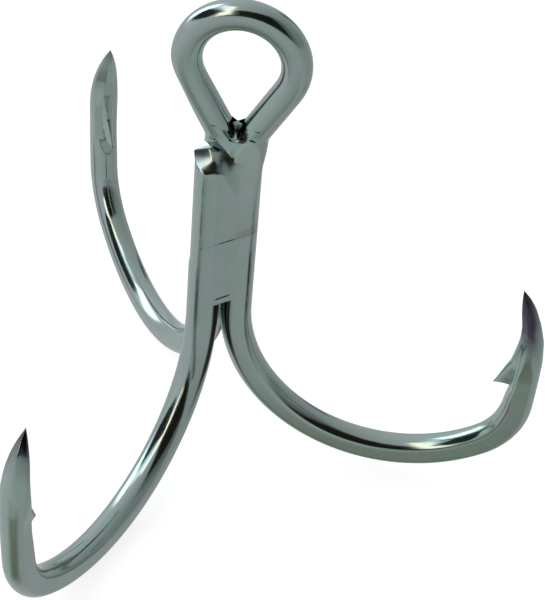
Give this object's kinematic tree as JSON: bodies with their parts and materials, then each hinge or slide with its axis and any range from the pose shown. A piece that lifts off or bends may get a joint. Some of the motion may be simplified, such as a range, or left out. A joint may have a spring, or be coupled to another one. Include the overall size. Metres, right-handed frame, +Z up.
{
  "type": "treble hook",
  "caption": "Large fishing treble: barbed hooks spread evenly round a short brazed shank, with a round wire eye at the top for a split ring or line.",
  "frame": {"origin": "centre of the eye, in the middle of the double hook's two shank wires", "axes": "+Z up the shank towards the eye, the eye and the right-hand hook in the XZ plane, that hook towards +X, so the eye's hole runs along Y"},
  "size_m": [0.0415, 0.0493, 0.0433],
  "materials": {
    "plated_wire": "bright tin-nickel plate over steel wire, with soft draw lines and a faint green-grey cast",
    "braze_fill": "duller plated braze metal, slightly rippled"
  },
  "bodies": {
    "root": {"double_hook": "plated_wire", "single_hook": "plated_wire", "front_braze_run": "braze_fill", "left_braze_run": "braze_fill", "rear_braze_run": "braze_fill", "core_braze_run": "braze_fill", "crotch_braze": "braze_fill"}
  },
  "joints": []
}
